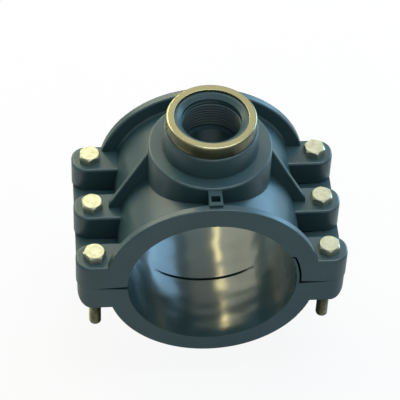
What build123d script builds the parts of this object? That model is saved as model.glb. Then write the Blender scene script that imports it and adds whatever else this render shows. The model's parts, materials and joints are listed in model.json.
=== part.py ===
from build123d import *

import os
from math import cos, radians, sqrt, tan

# Six-bolt tapping saddle for a 110 mm pressure pipe with a G 1 1/4 branch outlet.
#
# Two moulded half shells clamp round the pipe. The upper half carries the threaded outlet,
# whose mouth is held by a steel ring, and a rubber seal round the inside of the port. The lower
# half carries six captive nuts. Six bolts pass down through the lugs of the upper half.
#
# Frame: origin where the pipe axis meets the outlet axis, +Y along the pipe towards the rear,
# +Z along the outlet, +X to the right seen from the front. Millimetres.

# ---- pipe and clamping shells -------------------------------------------------------------
pipe_r = 55.0
bore_clearance = 0.1
shell_wall = 4.9
end_flange_width = 5.8
upper_flange_height = 10.0
lower_flange_height = 8.5
edge_round = 1.2
root_round = 1.5
parting_z = -1.8
mating_gap = 2.8

# ---- bolted lugs --------------------------------------------------------------------------
bolt_offset = 16.0
lug_width = 22.8
lug_gap = 20.9
lug_set_in = 0.1
lug_overhang = 12.3
lug_corner_r = 10.0
lug_height = 19.4
lug_top_round = 1.8
ear_thickness = 18.5
ear_inset = 0.8
ear_corner_r = 9.0
ear_bottom_round = 9.5
ear_pocket_wall = 3.6
ear_pocket_depth = 13.0
ear_pocket_corner_r = 2.0

# ---- bolts and nuts (M8) ------------------------------------------------------------------
thread_d = 8.0
bolt_length = 65.0
head_across_flats = 13.0
head_height = 5.3
nut_height = 6.5
head_corner_slope = 30.0
head_corner_drop = 0.6
head_flat_share = 0.95
bolt_end_chamfer = 1.0
bolt_hole_clearance = 0.5
nut_thread_clearance = 0.06
nut_pocket_clearance = 0.2
nut_recess = 1.5
head_turns = {
    ("left", "rear"): 27,
    ("left", "middle"): 36,
    ("left", "front"): 6,
    ("right", "rear"): 41,
    ("right", "middle"): 33,
    ("right", "front"): 30,
}

# ---- branch outlet ------------------------------------------------------------------------
collar_r = 40.0
shoulder_z = 73.2
shoulder_round = 1.4
neck_foot_r = 31.0
neck_top_r = 30.2
neck_cove_r = 4.5
ring_seat_z = 89.0
ring_outer_r = 29.0
ring_inner_r = 23.8
ring_height = 9.5
ring_round = 1.3
ring_fit = 0.05
ring_inner_round = 0.4
spigot_sink = 1.6
thread_minor_r = 19.475
thread_mouth_r = 22.0
thread_mouth_chamfer = 2.4
thread_depth = 25.0
port_r = 17.5
port_taper_height = 3.0

# ---- stiffening ribs ----------------------------------------------------------------------
gusset_thickness = 4.0
gusset_top_drop = 5.0
gusset_foot_inset = 11.0
gusset_foot_height = 3.0
gusset_round = 0.9
gusset_sink = 2.0
bridge_width = 8.6
bridge_drop = 1.2
bridge_land = 4.6
bridge_wall = 1.4
bridge_channel_depth = 5.0
web_thickness = 4.0
web_height = 6.0

# ---- seal and interlock -------------------------------------------------------------------
seal_inner_r = 22.0
seal_width = 5.0
seal_depth = 4.0
seal_side_clearance = 0.3
tongue_thickness = 1.6
tongue_gap = 1.4
tongue_top_z = 22.0
tongue_end_gap = 1.5
grip_groove_width = 2.2
grip_groove_depth = 2.0
grip_groove_y = -4.7
grip_groove_half_span = 34.0

# ---- worked-out sizes ---------------------------------------------------------------------
bore_r = pipe_r + bore_clearance
seal_outer_r = seal_inner_r + seal_width
shell_r = bore_r + shell_wall
upper_flange_r = shell_r + upper_flange_height
lower_flange_r = shell_r + lower_flange_height
bolt_pitch = lug_width + lug_gap
half_length = bolt_pitch + lug_width / 2 + lug_set_in
bolt_x = shell_r + bolt_offset
lug_end_x = bolt_x + lug_overhang
gusset_foot_x = bolt_x - gusset_foot_inset
lug_top_z = parting_z + lug_height
ear_bottom_z = parting_z - ear_thickness
ring_top_z = ring_seat_z + ring_height
spigot_top_z = ring_top_z - spigot_sink
nut_top_z = ear_bottom_z + nut_recess + nut_height
hex_corner_factor = 1 / cos(radians(30))
head_inner_r = head_across_flats / 2
hex_corner_r = head_inner_r * hex_corner_factor
corner_slope_height = (hex_corner_r - head_inner_r) * tan(radians(head_corner_slope))
rows = (("front", -bolt_pitch), ("middle", 0.0), ("rear", bolt_pitch))
sides = (("left", -1), ("right", 1))
bolt_points = [(side * bolt_x, y) for _, side in sides for _, y in rows]
reach = 2 * (upper_flange_r + ring_top_z)
overlap = 1.0
match = 0.01


def shell_section(flange_r):
    """Half section through a shell wall with an end flange at each end, for turning about Y."""
    with BuildSketch(Plane.YZ) as section:
        with Locations((0, bore_r - overlap)):
            Rectangle(2 * half_length, shell_wall + overlap, align=(Align.CENTER, Align.MIN))
        with Locations((half_length, bore_r)):
            Rectangle(end_flange_width, flange_r - bore_r, align=(Align.MAX, Align.MIN))
        with Locations((-half_length, bore_r)):
            Rectangle(end_flange_width, flange_r - bore_r, align=(Align.MIN, Align.MIN))
        fillet(section.vertices().group_by(Axis.Y)[-1], edge_round)
        inner_corners = section.vertices().filter_by_position(
            Axis.Y, shell_r - match, shell_r + match
        )
        fillet(inner_corners, root_round)
    return section.sketch


def mating_wedge(up):
    """Wedge cut that opens the mating face towards the bore, up or down from the parting plane."""
    inner_x = bore_r - overlap
    with BuildPart() as wedge:
        with BuildSketch(Plane.XZ):
            for side in (-1, 1):
                with BuildLine():
                    Polyline(
                        (side * bolt_x, parting_z),
                        (side * inner_x, parting_z + up * mating_gap / 2),
                        (side * inner_x, parting_z - up * overlap),
                        (side * bolt_x, parting_z - up * overlap),
                        close=True,
                    )
                make_face()
        extrude(amount=half_length, both=True)
    return wedge.part


def finish(part, name):
    """Label one finished piece and write it as its own STEP file."""
    part.label = name
    export_step(part, f"parts/{name}.step")


os.makedirs("parts", exist_ok=True)

# ---- shared helper solids -----------------------------------------------------------------
with BuildPart() as lug:
    with BuildSketch(Plane.XY.offset(lug_top_z)):
        with Locations((bore_r, 0)):
            Rectangle(lug_end_x - bore_r, lug_width, align=(Align.MIN, Align.CENTER))
    extrude(amount=-2 * lug_height)
    fillet(lug.edges().filter_by(Axis.Z).group_by(Axis.X)[-1], lug_corner_r)
    fillet(lug.faces().sort_by(Axis.Z)[-1].edges().sort_by(Axis.X)[1:], lug_top_round)

with BuildPart() as gusset:
    with BuildSketch(Plane.XZ):
        with BuildLine():
            Polyline(
                (collar_r - gusset_sink, shoulder_z - gusset_top_drop),
                (collar_r, shoulder_z - gusset_top_drop),
                (gusset_foot_x, lug_top_z + gusset_foot_height),
                (gusset_foot_x, lug_top_z - overlap),
                (bore_r, lug_top_z - overlap),
                (collar_r - gusset_sink, shell_r / 2),
                close=True,
            )
        make_face()
    extrude(amount=gusset_thickness / 2, both=True)
    slope = gusset.faces().sort_by(SortBy.AREA)[-3]
    fillet(slope.edges().sort_by(SortBy.LENGTH)[-2:], gusset_round)

with BuildPart() as ears:
    with BuildSketch(Plane.XZ) as ear_section:
        with Locations((0, parting_z)):
            Rectangle(
                2 * (lug_end_x - ear_inset), ear_thickness, align=(Align.CENTER, Align.MAX)
            )
        fillet(ear_section.vertices().group_by(Axis.Y)[0], ear_bottom_round)
        Circle(bore_r, mode=Mode.SUBTRACT)
    extrude(amount=half_length, both=True)
    with BuildSketch(Plane.XY.offset(ear_bottom_z)):
        RectangleRounded(2 * (lug_end_x - ear_inset), 2 * half_length, ear_corner_r)
    extrude(amount=ear_thickness, mode=Mode.INTERSECT)

with BuildPart() as seal_groove:
    with BuildSketch(Plane.XY):
        Circle(seal_outer_r + seal_side_clearance)
        Circle(seal_inner_r - seal_side_clearance, mode=Mode.SUBTRACT)
    extrude(amount=shell_r)
    with BuildSketch(Plane.XZ):
        Circle(bore_r + seal_depth)
    extrude(amount=half_length, both=True, mode=Mode.INTERSECT)

with BuildPart() as nut_pocket:
    with BuildSketch(Plane.XY.offset(ear_bottom_z)):
        RegularPolygon((head_inner_r + nut_pocket_clearance) * hex_corner_factor, 6)
    extrude(amount=nut_recess + nut_height)

upper_wedge = mating_wedge(1)
lower_wedge = mating_wedge(-1)

# ---- upper half ---------------------------------------------------------------------------
with BuildPart() as upper_saddle:
    add(shell_section(upper_flange_r))
    revolve(axis=Axis.Y)

    # six bolting lugs, three a side
    for _, y in rows:
        with Locations(Location((0, y, 0)), Location((0, y, 0), (0, 0, 180))):
            add(lug.part)
    split(bisect_by=Plane.XY.offset(parting_z), keep=Keep.TOP)

    # collar, coved neck and the spigot that the steel ring sits on
    with BuildSketch(Plane.XZ) as outlet_profile:
        with BuildLine():
            Polyline(
                (0, shell_r / 2),
                (collar_r, shell_r / 2),
                (collar_r, shoulder_z),
                (neck_foot_r, shoulder_z),
                (neck_top_r, ring_seat_z),
                (ring_inner_r - ring_fit, ring_seat_z),
                (ring_inner_r - ring_fit, spigot_top_z),
                (0, spigot_top_z),
                close=True,
            )
        make_face()
        shoulder_points = outlet_profile.vertices().filter_by_position(
            Axis.Y, shoulder_z - match, shoulder_z + match
        )
        fillet(shoulder_points.sort_by(Axis.X)[-1], shoulder_round)
        fillet(shoulder_points.sort_by(Axis.X)[0], neck_cove_r)
        fillet(
            outlet_profile.vertices()
            .filter_by_position(Axis.Y, ring_seat_z - match, ring_seat_z + match)
            .sort_by(Axis.X)[-1],
            edge_round,
        )
    revolve(axis=Axis.Z)

    # gusset ribs from the collar down to the middle lugs
    with Locations(Location((0, 0, 0)), Location((0, 0, 0), (0, 0, 180))):
        add(gusset.part)

    # short bridges from the collar to each end flange, with an open channel at the flange end
    bridge_top_z = shoulder_z - bridge_drop
    with BuildSketch(Plane.XY.offset(bridge_top_z)):
        Rectangle(bridge_width, 2 * half_length - end_flange_width)
    extrude(amount=bore_r - bridge_top_z)
    with BuildSketch(Plane.XY.offset(bridge_top_z)):
        channel_start = sqrt(collar_r**2 - (bridge_width / 2) ** 2) + bridge_land
        channel_end = half_length - end_flange_width
        for side in (-1, 1):
            with Locations((0, side * (channel_start + channel_end) / 2)):
                Rectangle(bridge_width - 2 * bridge_wall, channel_end - channel_start)
    extrude(amount=-bridge_channel_depth, mode=Mode.SUBTRACT)

    # pipe bore, and the mating face that opens a wedge towards it
    with BuildSketch(Plane.XZ):
        Circle(bore_r)
    extrude(amount=half_length, both=True, mode=Mode.SUBTRACT)
    add(upper_wedge, mode=Mode.SUBTRACT)

    # rebate for the tongue of the lower half
    with BuildSketch(Plane.XZ):
        Circle(bore_r + tongue_thickness + tongue_gap)
        with Locations((0, parting_z - overlap)):
            Rectangle(
                shell_r,
                tongue_top_z + tongue_end_gap - parting_z + overlap,
                align=(Align.MIN, Align.MIN),
                mode=Mode.INTERSECT,
            )
    extrude(amount=half_length, both=True, mode=Mode.SUBTRACT)

    # outlet: chamfered mouth, thread at its minor diameter, taper and port
    with BuildSketch(Plane.XZ):
        with BuildLine():
            Polyline(
                (0, spigot_top_z),
                (thread_mouth_r, spigot_top_z),
                (thread_minor_r, spigot_top_z - thread_mouth_chamfer),
                (thread_minor_r, spigot_top_z - thread_depth),
                (port_r, spigot_top_z - thread_depth - port_taper_height),
                (port_r, shell_r / 2),
                (0, shell_r / 2),
                close=True,
            )
        make_face()
    revolve(axis=Axis.Z, mode=Mode.SUBTRACT)
    add(seal_groove.part, mode=Mode.SUBTRACT)

    with Locations([(x, y, 0) for x, y in bolt_points]):
        Cylinder(thread_d / 2 + bolt_hole_clearance, reach, mode=Mode.SUBTRACT)
finish(upper_saddle.part, "upper_saddle")

# ---- lower half ---------------------------------------------------------------------------
with BuildPart() as lower_saddle:
    add(shell_section(lower_flange_r))
    revolve(axis=Axis.Y)
    split(bisect_by=Plane.XY.offset(parting_z), keep=Keep.BOTTOM)

    # webs across the shell under each gap between bolts, and under the middle bolts
    with BuildSketch(Plane.XZ):
        Circle(shell_r + web_height)
        with Locations((0, parting_z)):
            Rectangle(reach, reach, align=(Align.CENTER, Align.MAX), mode=Mode.INTERSECT)
    extrude(amount=web_thickness / 2, both=True)
    with BuildSketch(Plane.XY):
        Rectangle(web_thickness, 2 * half_length - end_flange_width)
    extrude(amount=-(shell_r + web_height))

    # side ears, one thick flange along each side
    add(ears.part)

    with BuildSketch(Plane.XZ):
        Circle(bore_r)
    extrude(amount=half_length, both=True, mode=Mode.SUBTRACT)
    add(lower_wedge, mode=Mode.SUBTRACT)

    # tongue that stands up inside the right-hand wall of the upper half
    with BuildSketch(Plane.XZ):
        Circle(bore_r + tongue_thickness)
        Circle(bore_r, mode=Mode.SUBTRACT)
        with Locations((0, parting_z - mating_gap)):
            Rectangle(
                shell_r,
                tongue_top_z - parting_z + mating_gap,
                align=(Align.MIN, Align.MIN),
                mode=Mode.INTERSECT,
            )
    extrude(amount=half_length, both=True)

    # crescent grip groove across the floor of the bore, running out at both sides
    groove_floor_z = -(bore_r + grip_groove_depth)
    groove_end_z = -sqrt(bore_r**2 - grip_groove_half_span**2)
    groove_rise = groove_end_z - groove_floor_z
    groove_r = (grip_groove_half_span**2 + groove_rise**2) / (2 * groove_rise)
    with BuildSketch(Plane.XZ.offset(-grip_groove_y)):
        with Locations((0, groove_floor_z + groove_r)):
            Circle(groove_r)
        with Locations((0, groove_end_z)):
            Rectangle(reach, reach, align=(Align.CENTER, Align.MAX), mode=Mode.INTERSECT)
    extrude(amount=grip_groove_width / 2, both=True, mode=Mode.SUBTRACT)

    # lightening pockets between the bolts, open underneath
    pocket_length = bolt_pitch - lug_width - ear_pocket_wall
    with BuildSketch(Plane.XY.offset(ear_bottom_z)):
        for side in (-1, 1):
            with Locations((side * bolt_x, bolt_pitch / 2), (side * bolt_x, -bolt_pitch / 2)):
                RectangleRounded(
                    lug_width - 2 * ear_pocket_wall, pocket_length, ear_pocket_corner_r
                )
    extrude(amount=ear_pocket_depth, mode=Mode.SUBTRACT)

    with Locations([(x, y, 0) for x, y in bolt_points]):
        Cylinder(thread_d / 2 + bolt_hole_clearance, reach, mode=Mode.SUBTRACT)
        add(nut_pocket.part, mode=Mode.SUBTRACT)
finish(lower_saddle.part, "lower_saddle")

# ---- seal and steel ring ------------------------------------------------------------------
with BuildPart() as outlet_seal:
    with BuildSketch(Plane.XY):
        Circle(seal_outer_r)
        Circle(seal_inner_r, mode=Mode.SUBTRACT)
    extrude(amount=shell_r)
    with BuildSketch(Plane.XZ):
        Circle(bore_r + seal_depth)
        Circle(bore_r, mode=Mode.SUBTRACT)
    extrude(amount=half_length, both=True, mode=Mode.INTERSECT)
finish(outlet_seal.part, "outlet_seal")

with BuildPart() as reinforcing_ring:
    with BuildSketch(Plane.XY.offset(ring_seat_z)):
        Circle(ring_outer_r)
        Circle(ring_inner_r, mode=Mode.SUBTRACT)
    extrude(amount=ring_height)
    ring_top = reinforcing_ring.faces().sort_by(Axis.Z)[-1]
    fillet(ring_top.edges().sort_by(SortBy.LENGTH)[-1], ring_round)
    fillet(ring_top.edges().sort_by(SortBy.LENGTH)[0], ring_inner_round)
finish(reinforcing_ring.part, "reinforcing_ring")

# ---- bolts and captive nuts ---------------------------------------------------------------
for side_name, side in sides:
    for row_name, y in rows:
        x = side * bolt_x
        turn = head_turns[side_name, row_name]
        with BuildPart() as bolt:
            with BuildSketch(Plane.XY.offset(lug_top_z)):
                with Locations((x, y)):
                    RegularPolygon(hex_corner_r, 6, rotation=turn)
            extrude(amount=head_height)
            with BuildSketch(Plane((x, y, lug_top_z), x_dir=(1, 0, 0), z_dir=(0, -1, 0))):
                with BuildLine():
                    Polyline(
                        (0, 0),
                        (hex_corner_r + overlap, 0),
                        (hex_corner_r + overlap, head_height - corner_slope_height - head_corner_drop),
                        (head_inner_r * head_flat_share, head_height),
                        (0, head_height),
                        close=True,
                    )
                make_face()
            revolve(axis=Axis((x, y, 0), (0, 0, 1)), mode=Mode.INTERSECT)
            with BuildSketch(Plane.XY.offset(lug_top_z)):
                with Locations((x, y)):
                    Circle(thread_d / 2)
            extrude(amount=-bolt_length)
            chamfer(bolt.faces().sort_by(Axis.Z)[0].edges(), bolt_end_chamfer)
        finish(bolt.part, f"bolt_{side_name}_{row_name}")

        with BuildPart() as nut:
            with BuildSketch(Plane.XY.offset(nut_top_z)):
                with Locations((x, y)):
                    RegularPolygon(hex_corner_r, 6)
                    Circle(thread_d / 2 + nut_thread_clearance, mode=Mode.SUBTRACT)
            extrude(amount=-nut_height)
        finish(nut.part, f"nut_{side_name}_{row_name}")
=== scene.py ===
"""Looks of the six-bolt tapping saddle: plastic, steel and rubber, its screw threads and a pale studio."""
import json
import math

import bpy
from mathutils import Matrix, Vector


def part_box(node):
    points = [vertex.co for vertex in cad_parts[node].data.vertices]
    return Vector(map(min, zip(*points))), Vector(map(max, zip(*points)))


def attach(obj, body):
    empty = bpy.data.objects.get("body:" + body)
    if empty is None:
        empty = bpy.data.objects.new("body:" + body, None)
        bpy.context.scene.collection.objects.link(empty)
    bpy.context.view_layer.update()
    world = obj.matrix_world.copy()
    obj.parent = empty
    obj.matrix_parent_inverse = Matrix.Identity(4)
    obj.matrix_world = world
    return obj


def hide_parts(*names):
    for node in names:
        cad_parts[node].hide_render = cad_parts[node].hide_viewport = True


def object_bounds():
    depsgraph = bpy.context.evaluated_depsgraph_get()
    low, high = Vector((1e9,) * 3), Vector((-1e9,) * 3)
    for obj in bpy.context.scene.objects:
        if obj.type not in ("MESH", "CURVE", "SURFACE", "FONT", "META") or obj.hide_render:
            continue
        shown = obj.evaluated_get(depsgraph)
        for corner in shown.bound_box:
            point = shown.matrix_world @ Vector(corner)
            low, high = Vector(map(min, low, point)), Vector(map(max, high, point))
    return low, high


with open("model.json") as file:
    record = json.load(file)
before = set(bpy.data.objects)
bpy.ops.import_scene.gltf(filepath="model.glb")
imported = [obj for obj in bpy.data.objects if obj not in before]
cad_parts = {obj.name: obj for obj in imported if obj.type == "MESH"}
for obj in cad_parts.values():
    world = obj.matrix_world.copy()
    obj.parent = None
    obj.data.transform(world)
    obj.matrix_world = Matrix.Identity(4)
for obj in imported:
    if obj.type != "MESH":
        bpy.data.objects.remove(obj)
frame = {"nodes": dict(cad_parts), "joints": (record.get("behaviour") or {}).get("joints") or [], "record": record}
cad_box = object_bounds()

# ---- thread of the branch outlet: metres, turns, and points a turn ------------------------------
OUTLET_PITCH = 0.0254 / 11
OUTLET_DEPTH = 0.0009
OUTLET_SUNK_EDGE = 0.0002
OUTLET_LEAD_IN = 0.0024
OUTLET_TURNS = 9
OUTLET_FADE_TURNS = 0.5
OUTLET_STEPS = 96
# upper half of its profile: share of half a pitch above the crest's middle, height off the wall
OUTLET_FLANK = (
    (0.98, -OUTLET_SUNK_EDGE),
    (0.62, 0.30 * OUTLET_DEPTH),
    (0.27, 0.80 * OUTLET_DEPTH),
    (0.10, OUTLET_DEPTH),
)

# ---- bolts: metres, turns, points a turn, and degrees -------------------------------------------
BOLT_RADIUS = 0.004
BOLT_ROOT = 0.00325
BOLT_PITCH = 0.00125
BOLT_SMOOTH_LENGTH = 0.004
BOLT_END_CHAMFER = 0.001
BOLT_FADE_TURNS = 0.8
BOLT_STEPS = 36
# one pitch of its thread from the top down: radius, and height as a share of the pitch
BOLT_PROFILE = (
    (BOLT_RADIUS, 0.12),
    (BOLT_ROOT, -0.375),
    (BOLT_ROOT, -0.5),
    (BOLT_RADIUS, -0.88),
)
HEAD_FLATS = 0.013
HEAD_HEIGHT = 0.0053
# of half the flats, the round top face, and of that face a ring inside it
HEAD_FACE_SHARE = 0.95
HEAD_INNER_SHARE = 0.55
HEAD_EDGE_DROP = 0.0002
HEAD_CHAMFER_DEGREES = 30
ROUND_SIDES = 72
BOLT_END_SIDES = 36
# how far each head is turned, in degrees
HEAD_TURNS = {
    "bolt_left_rear": 27,
    "bolt_left_middle": 36,
    "bolt_left_front": 6,
    "bolt_right_rear": 41,
    "bolt_right_middle": 33,
    "bolt_right_front": 30,
}

# ---- finish: metres, but for heights of bumps ---------------------------------------------------
# plastic this close to the bore's wall is finished as the bore is
BORE_SKIN_DEPTH = 0.0005
BORE_WAVE_HEIGHT = 2.6
MOULD_GRAIN_HEIGHT = 0.03
# the turning marks on a head: radians a metre, and height beside the speckle's
ZINC_RING_RATE = 9000.0
ZINC_RING_HEIGHT = 0.25
NOISE_ROUGHNESS = 0.55
# the Mix node has a set of sockets for each data type under the same names: the colour ones' numbers
MIX_COLOUR_A = 6
MIX_COLOUR_B = 7
MIX_COLOUR_RESULT = 2

# ---- studio: metres, watts, and shares of white -------------------------------------------------
FLOOR_HALF_WIDTH = 6
FLOOR_CLEARANCE = 0.0005
# white to the camera near the object, rising to all white between these distances from its axis
FLOOR_WHITE_SHARE = 0.90
FLOOR_SHADOW_REACH = (0.12, 0.45)
MIRRORED_WHITE_SHARE = 0.5
WORLD_COLOUR = (0.95, 0.97, 1.0, 1.0)
WORLD_STRENGTH = 0.26
WHITE = (1.0, 1.0, 1.0, 1.0)
# name, place, width, power, colour
LAMPS = (
    ("rear_sky", (-0.10, 1.00, 0.95), 1.20, 4.0, (1.0, 0.96, 0.80)),
    ("overhead", (0.25, 0.00, 1.35), 0.90, 12.0, (0.84, 0.94, 1.0)),
    ("rear_left", (-0.88, 0.95, 0.80), 1.10, 13.2, (1.0, 0.97, 0.70)),
    ("rear_lamp", (-0.25, 0.84, 0.78), 0.14, 1.8, (1.0, 0.83, 0.36)),
    ("right_window", (1.10, 0.78, 0.38), 0.85, 15.5, (0.34, 0.68, 1.0)),
    ("front_fill", (-0.10, -1.10, 0.36), 0.80, 1.0, (0.88, 0.98, 1.0)),
)

# ---- camera: degrees, metres, and millimetres for the lens and sensor ---------------------------
VIEW_AZIMUTH = -6.34
VIEW_ELEVATION = 47.32
VIEW_ROLL = 2.85
VIEW_DISTANCE = 1.36101
VIEW_OFFSET = (0.00410, -0.01364)
VIEW_LENS = 183.54
VIEW_SENSOR = 36
VIEW_CLIP = (0.05, 50)


# ---- what the frame says ------------------------------------------------------------------------
def mount_radius(name):
    """Radius of a mount, in metres."""
    mount = next(m for m in frame["record"]["mounts"] if m["name"] == name)
    return mount["dims"]["r_mm"] / 1000


def joint_axis(body):
    """Where the axis of a body's turning joint stands."""
    joint = next(j for j in frame["joints"] if j["child"] == body)
    return joint["pos_m"]


def opening_travel():
    """How far the lower half moves down, in metres."""
    joint = next(j for j in frame["joints"] if j["name"] == "clamp_opening")
    return joint["range_m"][1]


# ---- node helpers -------------------------------------------------------------------------------
def new_material(name):
    """A material whose tree holds its output and a Principled shader alone."""
    material = bpy.data.materials.new(name)
    material.use_nodes = True
    tree = material.node_tree
    tree.nodes.clear()
    output = tree.nodes.new("ShaderNodeOutputMaterial")
    shader = tree.nodes.new("ShaderNodeBsdfPrincipled")
    tree.links.new(shader.outputs["BSDF"], output.inputs["Surface"])
    return material, tree, shader


def feed(tree, value, socket):
    """Puts a plain number in a socket, or links another node's output to it."""
    if isinstance(value, (int, float)):
        socket.default_value = value
    else:
        tree.links.new(value, socket)


def object_place(tree):
    """X, Y and Z of the point being shaded, in object space."""
    place = tree.nodes.new("ShaderNodeTexCoord")
    parts = tree.nodes.new("ShaderNodeSeparateXYZ")
    tree.links.new(place.outputs["Object"], parts.inputs["Vector"])
    return parts.outputs


def noise(tree, scale, detail=4.0, stretch=(1, 1, 1)):
    """Noise in object space, drawn out along an axis with a small factor and fine along a large one."""
    place = tree.nodes.new("ShaderNodeTexCoord")
    mapping = tree.nodes.new("ShaderNodeMapping")
    mapping.inputs["Scale"].default_value = stretch
    texture = tree.nodes.new("ShaderNodeTexNoise")
    texture.inputs["Scale"].default_value = scale
    texture.inputs["Detail"].default_value = detail
    texture.inputs["Roughness"].default_value = NOISE_ROUGHNESS
    tree.links.new(place.outputs["Object"], mapping.inputs["Vector"])
    tree.links.new(mapping.outputs["Vector"], texture.inputs["Vector"])
    return texture.outputs["Fac"]


def ramp(tree, value, stops):
    """Colour ramp through (position, colour) stops."""
    node = tree.nodes.new("ShaderNodeValToRGB")
    while len(node.color_ramp.elements) < len(stops):
        node.color_ramp.elements.new(0.5)
    for element, (position, colour) in zip(node.color_ramp.elements, stops):
        element.position = position
        element.color = (*colour, 1.0)
    tree.links.new(value, node.inputs["Fac"])
    return node.outputs["Color"]


def remap(tree, value, low, high, start=0.0, end=1.0):
    """A value between start and end moved to the range low to high, and held there beyond it."""
    node = tree.nodes.new("ShaderNodeMapRange")
    node.inputs["From Min"].default_value = start
    node.inputs["From Max"].default_value = end
    node.inputs["To Min"].default_value = low
    node.inputs["To Max"].default_value = high
    tree.links.new(value, node.inputs["Value"])
    return node.outputs["Result"]


def maths(tree, operation, *values):
    """One Math node on sockets or plain numbers."""
    node = tree.nodes.new("ShaderNodeMath")
    node.operation = operation
    for socket, value in zip(node.inputs, values):
        feed(tree, value, socket)
    return node.outputs["Value"]


def bump(tree, shader, height, distance, strength):
    """Bump on the shader's normal: distance is how high, in metres, a height of 1 stands."""
    node = tree.nodes.new("ShaderNodeBump")
    node.inputs["Distance"].default_value = distance
    node.inputs["Strength"].default_value = strength
    tree.links.new(height, node.inputs["Height"])
    tree.links.new(node.outputs["Normal"], shader.inputs["Normal"])


def distance_from_axis(tree, along, centre=(0, 0)):
    """Distance in metres from a line that runs along Y or Z through centre, in object space."""
    place = object_place(tree)
    across = place["Y" if along == "Z" else "Z"]
    first = maths(tree, "SUBTRACT", place["X"], centre[0])
    second = maths(tree, "SUBTRACT", across, centre[1])
    first_square = maths(tree, "MULTIPLY", first, first)
    second_square = maths(tree, "MULTIPLY", second, second)
    return maths(tree, "SQRT", maths(tree, "ADD", first_square, second_square))


def blend_values(tree, mask, outside, inside):
    """outside where mask is 0 and inside where it is 1."""
    node = tree.nodes.new("ShaderNodeMix")
    node.data_type = "FLOAT"
    tree.links.new(mask, node.inputs["Factor"])
    feed(tree, outside, node.inputs["A"])
    feed(tree, inside, node.inputs["B"])
    return node.outputs["Result"]


def blend_colours(tree, mask, outside, inside):
    """One colour where mask is 0 and the other where it is 1."""
    node = tree.nodes.new("ShaderNodeMix")
    node.data_type = "RGBA"
    tree.links.new(mask, node.inputs["Factor"])
    tree.links.new(outside, node.inputs[MIX_COLOUR_A])
    tree.links.new(inside, node.inputs[MIX_COLOUR_B])
    return node.outputs[MIX_COLOUR_RESULT]


# ---- materials ----------------------------------------------------------------------------------
def moulded_plastic():
    """Dark slate polypropylene: satin outside with fine mould grain, and glossy and wavy in the bore."""
    material, tree, shader = new_material("moulded_polypropylene")
    tint = ramp(
        tree,
        noise(tree, scale=38, detail=3),
        [(0.25, (0.020, 0.053, 0.060)), (0.55, (0.026, 0.063, 0.071)), (0.8, (0.034, 0.074, 0.084))],
    )
    tree.links.new(tint, shader.inputs["Base Color"])
    shader.inputs["IOR"].default_value = 1.49
    bore_skin = mount_radius("pipe_bore") + BORE_SKIN_DEPTH
    in_bore = maths(tree, "LESS_THAN", distance_from_axis(tree, "Y"), bore_skin)
    satin = remap(tree, noise(tree, scale=120, detail=5), low=0.31, high=0.44)
    glossy = remap(tree, noise(tree, scale=60, detail=3), low=0.16, high=0.26)
    tree.links.new(blend_values(tree, in_bore, satin, glossy), shader.inputs["Roughness"])
    grain = maths(tree, "MULTIPLY", noise(tree, scale=1500, detail=2), MOULD_GRAIN_HEIGHT)
    swell = noise(tree, scale=30, detail=1, stretch=(1, 1.5, 1))
    waves = maths(tree, "MULTIPLY", swell, BORE_WAVE_HEIGHT)
    bump(tree, shader, blend_values(tree, in_bore, grain, waves), distance=0.0008, strength=0.6)
    return material


def zinc_plate(name, centre, bright_above):
    """Pale zinc with a yellow-green cast and faint rings round centre, and a darker colour below bright_above."""
    material, tree, shader = new_material(name)
    patches = noise(tree, scale=260, detail=4)
    bright = ramp(
        tree,
        patches,
        [(0.3, (0.34, 0.35, 0.25)), (0.55, (0.44, 0.45, 0.34)), (0.8, (0.54, 0.55, 0.45))],
    )
    dull = ramp(tree, patches, [(0.3, (0.13, 0.13, 0.075)), (0.8, (0.27, 0.27, 0.18))])
    # the colour is darker below bright_above: a bolt's shank and end, and the lower part of a nut
    above = maths(tree, "GREATER_THAN", object_place(tree)["Z"], bright_above)
    tree.links.new(blend_colours(tree, above, dull, bright), shader.inputs["Base Color"])
    shader.inputs["Metallic"].default_value = 0.9
    worn = remap(tree, noise(tree, scale=700, detail=3), low=0.28, high=0.46)
    tree.links.new(worn, shader.inputs["Roughness"])
    phase = maths(tree, "MULTIPLY", distance_from_axis(tree, "Z", centre), ZINC_RING_RATE)
    rings = maths(tree, "MULTIPLY", maths(tree, "SINE", phase), ZINC_RING_HEIGHT)
    speckle = noise(tree, scale=1800, detail=2)
    bump(tree, shader, maths(tree, "ADD", rings, speckle), distance=0.00003, strength=0.5)
    return material


def turning_lines(tree, scale):
    """Noise that changes with the distance from the outlet's axis alone, as a lathe leaves it."""
    lines = tree.nodes.new("ShaderNodeTexNoise")
    lines.noise_dimensions = "1D"
    lines.inputs["Scale"].default_value = scale
    lines.inputs["Detail"].default_value = 3
    tree.links.new(distance_from_axis(tree, "Z"), lines.inputs["W"])
    return lines.outputs["Fac"]


def facing_up(tree):
    """Black on walls and undersides, white on what faces up, and grey between: the mask that paints the ring's top
    lighter than its side.
    """
    geometry = tree.nodes.new("ShaderNodeNewGeometry")
    parts = tree.nodes.new("ShaderNodeSeparateXYZ")
    tree.links.new(geometry.outputs["Normal"], parts.inputs["Vector"])
    return ramp(tree, parts.outputs["Z"], [(0.25, (0, 0, 0)), (0.75, (1, 1, 1))])


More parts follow.
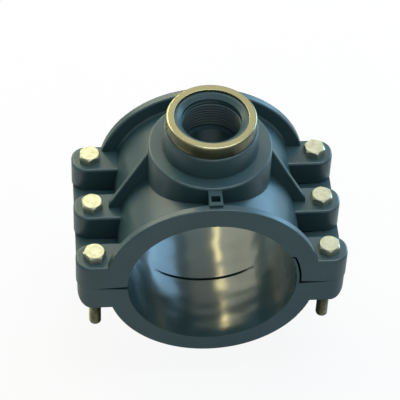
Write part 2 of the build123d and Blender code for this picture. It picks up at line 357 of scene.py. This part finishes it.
def turned_steel():
    """Stainless ring: a warm turned top with concentric lines, and its rolled side painted much darker, a painted
    reflection of the dark plastic round it.
    """
    material, tree, shader = new_material("turned_stainless")
    lines = turning_lines(tree, scale=5200)
    top = ramp(
        tree,
        lines,
        [(0.3, (0.20, 0.19, 0.105)), (0.6, (0.30, 0.285, 0.17)), (0.85, (0.44, 0.42, 0.27))],
    )
    # painted reflection: the side's colour is far darker than the top's, standing in for the dark plastic it
    # mirrors
    side = ramp(
        tree,
        noise(tree, scale=30, detail=4, stretch=(1, 1, 6)),
        [(0.3, (0.060, 0.060, 0.032)), (0.7, (0.15, 0.145, 0.085))],
    )
    # painted light: lighter colour on what faces up, the darker painted reflection on the side
    tree.links.new(blend_colours(tree, facing_up(tree), side, top), shader.inputs["Base Color"])
    shader.inputs["Metallic"].default_value = 1.0
    polish = remap(tree, noise(tree, scale=90, detail=4), low=0.20, high=0.32)
    tree.links.new(polish, shader.inputs["Roughness"])
    bump(tree, shader, lines, distance=0.00002, strength=0.5)
    return material


def seal_rubber():
    """Matt black rubber with a dusting of talc."""
    material, tree, shader = new_material("seal_rubber")
    talc = noise(tree, scale=300, detail=5)
    tint = ramp(tree, talc, [(0.4, (0.012, 0.012, 0.013)), (0.8, (0.03, 0.03, 0.032))])
    tree.links.new(tint, shader.inputs["Base Color"])
    tree.links.new(remap(tree, noise(tree, scale=500), low=0.55, high=0.75), shader.inputs["Roughness"])
    bump(tree, shader, noise(tree, scale=2200, detail=2), distance=0.00005, strength=0.5)
    return material


def studio_paper():
    """Pale floor paper, mostly white to the camera with the object's shadow kept, and all white far off."""
    material, tree, shader = new_material("studio_paper")
    fibre = noise(tree, scale=14, detail=3)
    tint = ramp(tree, fibre, [(0.3, (0.60, 0.60, 0.60)), (0.7, (0.65, 0.65, 0.65))])
    tree.links.new(tint, shader.inputs["Base Color"])
    shader.inputs["Roughness"].default_value = 0.9
    shader.inputs["Specular IOR Level"].default_value = 0.1
    white = tree.nodes.new("ShaderNodeEmission")
    white.inputs["Strength"].default_value = 1.0
    mix = tree.nodes.new("ShaderNodeMixShader")
    path = tree.nodes.new("ShaderNodeLightPath")
    away = remap(tree, distance_from_axis(tree, "Z"), FLOOR_WHITE_SHARE, 1.0, *FLOOR_SHADOW_REACH)
    share = maths(tree, "MULTIPLY", path.outputs["Is Camera Ray"], away)
    tree.links.new(share, mix.inputs["Fac"])
    tree.links.new(shader.outputs["BSDF"], mix.inputs[1])
    tree.links.new(white.outputs["Emission"], mix.inputs[2])
    output = next(n for n in tree.nodes if n.type == "OUTPUT_MATERIAL")
    tree.links.new(mix.outputs["Shader"], output.inputs["Surface"])
    return material


# ---- mesh helpers -------------------------------------------------------------------------------
def mesh_object(name, points, faces, material, smooth_angle):
    """A piece from its points and faces, smooth but for edges sharper than smooth_angle."""
    mesh = bpy.data.meshes.new(name)
    mesh.from_pydata(points, [], faces)
    mesh.validate()
    mesh.update()
    piece = bpy.data.objects.new(name, mesh)
    bpy.context.scene.collection.objects.link(piece)
    mesh.materials.append(material)
    mesh.shade_smooth()
    mesh.set_sharp_from_angle(angle=math.radians(smooth_angle))
    return piece


def around(centre, radius, angle, height):
    """The point at a radius, an angle and a height about a vertical axis."""
    return (centre[0] + radius * math.cos(angle), centre[1] + radius * math.sin(angle), height)


def add_ring(points, centre, sides, start_degrees, radius_at, height_at):
    """Adds a ring of points, its radius set by the angle and height by the radius; gives their numbers."""
    start = len(points)
    for step in range(sides):
        angle = 2 * math.pi * step / sides + math.radians(start_degrees)
        radius = radius_at(angle)
        points.append(around(centre, radius, angle, height_at(radius)))
    return list(range(start, start + sides))


def band(low, high):
    """Quads from one ring of point numbers up to another."""
    sides = len(low)
    faces = []
    for here in range(sides):
        after = (here + 1) % sides
        faces.append((low[here], low[after], high[after], high[here]))
    return faces


def skin(rows, offset=0):
    """Points and quads over equal rows of points, with point numbers from offset on."""
    width = len(rows[0])
    points = [p for row in rows for p in row]
    faces = []
    for row in range(len(rows) - 1):
        for column in range(width - 1):
            corner = offset + row * width + column
            faces.append((corner, corner + 1, corner + width + 1, corner + width))
    return points, faces


# ---- thread of the branch outlet ----------------------------------------------------------------
def outlet_thread_rows(wall, top):
    """Rows of points down the helix of the outlet's thread, which fades into the wall at both ends."""
    half = OUTLET_PITCH / 2
    upper = [(wall - depth, half * share) for share, depth in OUTLET_FLANK]
    lower = [(radius, -height) for radius, height in reversed(upper)]
    shell = wall + OUTLET_SUNK_EDGE
    rows = []
    for step in range(OUTLET_TURNS * OUTLET_STEPS + 1):
        turn = step / OUTLET_STEPS
        angle = 2 * math.pi * turn
        fade = min(1.0, turn / OUTLET_FADE_TURNS, (OUTLET_TURNS - turn) / OUTLET_FADE_TURNS)
        row = []
        for radius, height in upper + lower:
            faded = shell + (radius - shell) * fade
            row.append(around((0, 0), faded, angle, top - OUTLET_PITCH * turn + height))
        rows.append(row)
    return rows


def outlet_thread(material):
    """Whitworth-form ridge, 55 degrees with a rounded crest, down the wall of the branch outlet."""
    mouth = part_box("upper_saddle")[1].z
    rows = outlet_thread_rows(mount_radius("branch_outlet"), mouth - OUTLET_LEAD_IN - OUTLET_PITCH)
    points, faces = skin(rows)
    piece = mesh_object("outlet_thread", points, faces, material, smooth_angle=60)
    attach(piece, "upper_half")
    return piece


# ---- bolts --------------------------------------------------------------------------------------
def hex_head(points, centre, turn, base_z):
    """Adds a hexagon head's points; gives its faces and the ring of points where the shank joins."""
    flat = HEAD_FLATS / 2
    face_radius = flat * HEAD_FACE_SHARE
    top_z = base_z + HEAD_HEIGHT
    slope = math.tan(math.radians(HEAD_CHAMFER_DEGREES))

    def hexagon(angle):
        from_flat = (angle - math.radians(turn)) % math.radians(60) - math.radians(30)
        return flat / math.cos(from_flat)

    outline = [
        (lambda angle: BOLT_RADIUS, lambda radius: base_z),
        (hexagon, lambda radius: base_z),
        (hexagon, lambda radius: top_z - (radius - face_radius) * slope - HEAD_EDGE_DROP),
        (lambda angle: face_radius, lambda radius: top_z),
        (lambda angle: face_radius * HEAD_INNER_SHARE, lambda radius: top_z),
    ]
    rings = []
    for radius_at, height_at in outline:
        rings.append(add_ring(points, centre, ROUND_SIDES, turn, radius_at, height_at))
    faces = []
    for low, high in zip(rings, rings[1:]):
        faces += band(low, high)
    faces.append(tuple(rings[-1]))
    return faces, rings[0]


def bolt_thread_rows(centre, smooth_end, low_z):
    """Rows of points down the helix of a rolled thread, narrowed to a chamfer at the bolt's end."""
    turns = (smooth_end - low_z) / BOLT_PITCH
    rows = []
    for step in range(int(turns * BOLT_STEPS) + 1):
        turned = step / BOLT_STEPS
        fade = min(1.0, turned / BOLT_FADE_TURNS)
        row = []
        for profile_radius, share in BOLT_PROFILE:
            radius = BOLT_RADIUS + (profile_radius - BOLT_RADIUS) * fade
            height = smooth_end - BOLT_PITCH * turned + share * BOLT_PITCH
            into_chamfer = low_z + BOLT_END_CHAMFER - height
            if into_chamfer > 0:
                radius = min(radius, BOLT_RADIUS - into_chamfer)
            row.append(around(centre, radius, -2 * math.pi * turned, max(height, low_z)))
        rows.append(row)
    return rows


def threaded_bolt(node, turn, material):
    """A full bolt in place of its plain CAD solid: hexagon head and a rolled thread on the shank."""
    low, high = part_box(node)
    centre = joint_axis(node)
    base_z = high.z - HEAD_HEIGHT
    smooth_end = base_z - BOLT_SMOOTH_LENGTH
    points = []
    faces, shank_ring = hex_head(points, centre, turn, base_z)
    thread_points, thread_faces = skin(bolt_thread_rows(centre, smooth_end, low.z), len(points))
    points += thread_points
    faces += thread_faces

    # the plain neck reaches a pitch into the thread, which fades in there
    neck_z = smooth_end - BOLT_PITCH
    neck = add_ring(points, centre, ROUND_SIDES, turn, lambda angle: BOLT_RADIUS, lambda radius: neck_z)
    faces += band(neck, shank_ring)
    end_radius = BOLT_RADIUS - BOLT_END_CHAMFER
    end = add_ring(points, centre, BOLT_END_SIDES, 0, lambda angle: end_radius, lambda radius: low.z)
    faces.append(tuple(reversed(end)))
    piece = mesh_object("threaded_" + node, points, faces, material, smooth_angle=30)
    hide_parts(node)
    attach(piece, node)
    return piece


# ---- studio -------------------------------------------------------------------------------------
def studio_floor(low):
    """Pale floor just under the lowest point that the opened clamp reaches."""
    ground = low.z - opening_travel() - FLOOR_CLEARANCE
    edge = FLOOR_HALF_WIDTH
    corners = [(-edge, -edge, ground), (edge, -edge, ground), (edge, edge, ground), (-edge, edge, ground)]
    floor = mesh_object("studio_floor", corners, [(0, 1, 2, 3)], studio_paper(), smooth_angle=30)


def area_light(name, place, target, size, energy, colour):
    """A square soft light aimed at a point."""
    data = bpy.data.lights.new(name, "AREA")
    data.shape = "SQUARE"
    data.size = size
    data.energy = energy
    data.color = colour
    lamp = bpy.data.objects.new(name, data)
    lamp.location = place
    lamp.rotation_mode = "QUATERNION"
    lamp.rotation_quaternion = (Vector(place) - Vector(target)).to_track_quat("Z", "Y")
    bpy.context.scene.collection.objects.link(lamp)


def surround():
    """World that lights the object dimly, is white to the camera and half way to white in mirrors."""
    world = bpy.data.worlds.new("studio")
    bpy.context.scene.world = world
    world.use_nodes = True
    tree = world.node_tree
    tree.nodes.clear()
    output = tree.nodes.new("ShaderNodeOutputWorld")
    lit = tree.nodes.new("ShaderNodeBackground")
    lit.inputs["Color"].default_value = WORLD_COLOUR
    lit.inputs["Strength"].default_value = WORLD_STRENGTH
    seen = tree.nodes.new("ShaderNodeBackground")
    seen.inputs["Color"].default_value = WHITE
    seen.inputs["Strength"].default_value = 1.0
    path = tree.nodes.new("ShaderNodeLightPath")
    mirrored = maths(tree, "MULTIPLY", path.outputs["Is Glossy Ray"], MIRRORED_WHITE_SHARE)
    seen_directly = maths(tree, "MAXIMUM", path.outputs["Is Camera Ray"], mirrored)
    seen_at_all = maths(tree, "MAXIMUM", seen_directly, path.outputs["Is Transmission Ray"])
    mix = tree.nodes.new("ShaderNodeMixShader")
    tree.links.new(seen_at_all, mix.inputs["Fac"])
    tree.links.new(lit.outputs["Background"], mix.inputs[1])
    tree.links.new(seen.outputs["Background"], mix.inputs[2])
    tree.links.new(mix.outputs["Shader"], output.inputs["Surface"])


def studio(low, high):
    """Floor, lamps aimed at the object's middle, and the surround."""
    studio_floor(low)
    middle = (low + high) / 2
    for name, place, size, energy, colour in LAMPS:
        area_light(name, place, middle, size, energy, colour)
    surround()


def camera():
    """The camera at the viewing angle, with its slight roll."""
    azimuth = math.radians(VIEW_AZIMUTH)
    elevation = math.radians(VIEW_ELEVATION)
    roll = math.radians(VIEW_ROLL)
    level = math.cos(elevation)
    back = Vector((math.sin(azimuth) * level, -math.cos(azimuth) * level, math.sin(elevation)))
    right = (-back).cross(Vector((0, 0, 1))).normalized()
    up = right.cross(-back)
    rolled_right = right * math.cos(roll) + up * math.sin(roll)
    rolled_up = up * math.cos(roll) - right * math.sin(roll)
    place = back * VIEW_DISTANCE - rolled_right * VIEW_OFFSET[0] - rolled_up * VIEW_OFFSET[1]
    data = bpy.data.cameras.new("camera")
    data.lens = VIEW_LENS
    data.sensor_width = VIEW_SENSOR
    data.clip_start, data.clip_end = VIEW_CLIP
    eye = bpy.data.objects.new("camera", data)
    turn = Matrix((rolled_right, rolled_up, back)).transposed()
    eye.matrix_world = Matrix.Translation(place) @ turn.to_4x4()
    bpy.context.scene.collection.objects.link(eye)
    bpy.context.scene.camera = eye


# ---- the object ---------------------------------------------------------------------------------
def zinc_for(node):
    """Zinc with rings about the node's own axis, bright down to a head's height below its top."""
    low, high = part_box(node)
    centre = ((low.x + high.x) / 2, (low.y + high.y) / 2)
    return zinc_plate("zinc_" + node, centre, high.z - HEAD_HEIGHT)


plastic = moulded_plastic()
finish_of = {
    "upper_saddle": plastic,
    "lower_saddle": plastic,
    "reinforcing_ring": turned_steel(),
    "outlet_seal": seal_rubber(),
}
for node, piece in frame["nodes"].items():
    if node.startswith("nut_") or node.startswith("bolt_"):
        finish_of[node] = zinc_for(node)
    for slot in piece.material_slots:
        slot.material = finish_of[node]

camera()
studio(*cad_box)
outlet_thread(plastic)
for node, turn in HEAD_TURNS.items():
    threaded_bolt(node, turn, finish_of[node])

bpy.context.scene.view_settings.view_transform = "Standard"
